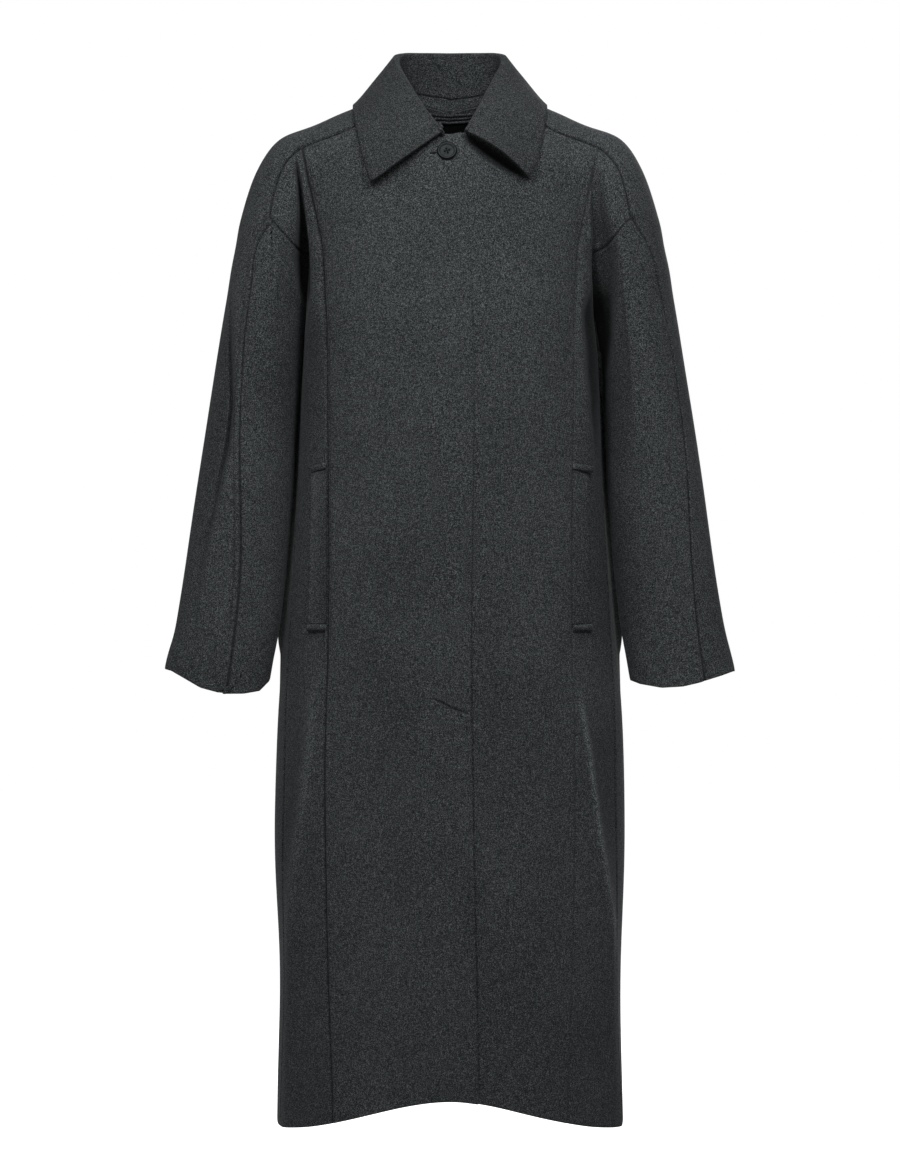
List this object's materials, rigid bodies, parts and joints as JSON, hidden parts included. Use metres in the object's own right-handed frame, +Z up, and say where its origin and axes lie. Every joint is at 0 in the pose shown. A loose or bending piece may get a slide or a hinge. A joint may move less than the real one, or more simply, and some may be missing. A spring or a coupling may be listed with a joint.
{
  "type": "long coat",
  "caption": "Long straight wool coat with a turned-down point collar, saddle shoulders, wide sleeves, welt pockets and a lapped front closed at the neck by a button.",
  "frame": {"origin": "middle of the coat level with the tops of the shoulders beside the neck, where the wearer carries it", "axes": "+Z up, -Y the front of the coat, +X the wearer's left"},
  "size_m": [0.6744, 0.321, 1.2905],
  "materials": {
    "wool": "brushed melange wool flannel, matt",
    "lining": "smooth dark facing cloth",
    "button": "satin, rimmed"
  },
  "bodies": {
    "root": {"front_right": "wool", "front_left": "wool", "side_front_right": "wool", "side_front_left": "wool", "back_right": "wool", "back_left": "wool", "sleeve_front_right": "wool", "sleeve_front_left": "wool", "sleeve_back_right": "wool", "sleeve_back_left": "wool", "pocket_welt_right": "wool", "pocket_welt_left": "wool", "pocket_tab_top_right": "wool", "pocket_tab_top_left": "wool", "pocket_tab_bottom_right": "wool", "pocket_tab_bottom_left": "wool", "back_neck_facing": "lining", "collar_stand": "wool", "collar_fall": "wool", "button": "button"}
  },
  "joints": []
}
